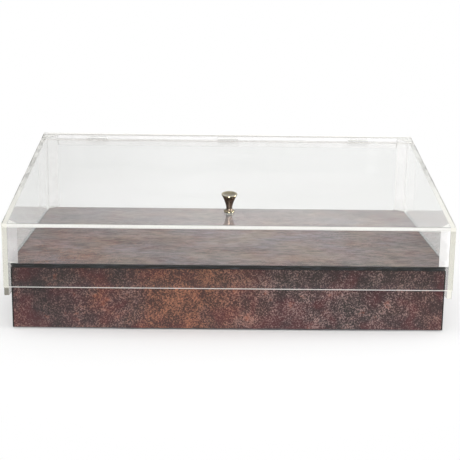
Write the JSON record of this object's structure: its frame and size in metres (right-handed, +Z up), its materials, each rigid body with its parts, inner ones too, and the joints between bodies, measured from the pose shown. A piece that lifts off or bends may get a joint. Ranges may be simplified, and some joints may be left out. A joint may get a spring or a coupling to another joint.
{
  "type": "gastronorm cooling box",
  "caption": "Insulated laminate box with cold packs under a serving plate, covered by a clear lift-off hood with a hinged sloping front flap and a knob.",
  "frame": {"origin": "on the floor, under the middle of the hood", "axes": "+X to the right along the front, +Y from the front flap to the rear wall, +Z up"},
  "size_m": [0.544, 0.337, 0.1965],
  "materials": {
    "rust_laminate": "compact laminate with a rust decor, satin",
    "plate_laminate": "compact laminate with a rust decor and a black core, satin",
    "black_laminate": "black compact laminate, matt",
    "foot_rubber": "matt black rubber",
    "stainless_screw": "plain stainless steel",
    "clear_silicone": "clear silicone",
    "foam": "white bead foam",
    "cold_pack": "blue blown polyethylene",
    "filler_plug": "white polyethylene",
    "clear_acrylic": "clear cast acrylic, polished",
    "clear_hinge": "clear moulded acrylic",
    "knob_metal": "turned metal, satin nickel plated"
  },
  "bodies": {
    "base": {"front_panel": "rust_laminate", "rear_panel": "rust_laminate", "left_panel": "rust_laminate", "right_panel": "rust_laminate", "bottom_panel": "black_laminate", "front_left_block": "black_laminate", "front_right_block": "black_laminate", "rear_left_block": "black_laminate", "rear_right_block": "black_laminate", "front_left_foot": "foot_rubber", "front_right_foot": "foot_rubber", "rear_left_foot": "foot_rubber", "rear_right_foot": "foot_rubber", "front_left_foot_screw": "stainless_screw", "front_right_foot_screw": "stainless_screw", "rear_left_foot_screw": "stainless_screw", "rear_right_foot_screw": "stainless_screw", "front_left_pad": "clear_silicone", "front_right_pad": "clear_silicone", "rear_left_pad": "clear_silicone", "rear_right_pad": "clear_silicone", "insulation_tray": "foam", "left_cold_pack": "cold_pack", "right_cold_pack": "cold_pack", "left_filler_plug": "filler_plug", "right_filler_plug": "filler_plug"},
    "plate": {"serving_plate": "plate_laminate"},
    "hood": {"hood_left_wall": "clear_acrylic", "hood_right_wall": "clear_acrylic", "hood_rear_wall": "clear_acrylic", "hood_top_strip": "clear_acrylic", "front_left_corner_bar": "clear_acrylic", "front_right_corner_bar": "clear_acrylic", "rear_left_corner_bar": "clear_acrylic", "rear_right_corner_bar": "clear_acrylic", "top_rear_bar": "clear_acrylic", "left_hinge_fixed_leaf": "clear_hinge", "middle_hinge_fixed_leaf": "clear_hinge", "right_hinge_fixed_leaf": "clear_hinge", "left_hinge_pin": "clear_hinge", "middle_hinge_pin": "clear_hinge", "right_hinge_pin": "clear_hinge"},
    "flap": {"flap_top_pane": "clear_acrylic", "flap_front_pane": "clear_acrylic", "left_hinge_flap_leaf": "clear_hinge", "middle_hinge_flap_leaf": "clear_hinge", "right_hinge_flap_leaf": "clear_hinge", "knob": "knob_metal", "knob_washer": "clear_silicone", "knob_screw": "stainless_screw"}
  },
  "joints": [
    {"name": "plate_lift", "type": "slide", "parent": "base", "child": "plate", "axis": [0, 0, 1], "range_m": [0, 0.12]},
    {"name": "hood_lift", "type": "slide", "parent": "plate", "child": "hood", "axis": [0, 0, 1], "range_m": [0, 0.15]},
    {"name": "flap_hinge", "type": "hinge", "parent": "hood", "child": "flap", "pos_m": [0, 0.1381, 0.19341], "axis": [-1, 0, 0], "range_deg": [0, 110]}
  ]
}
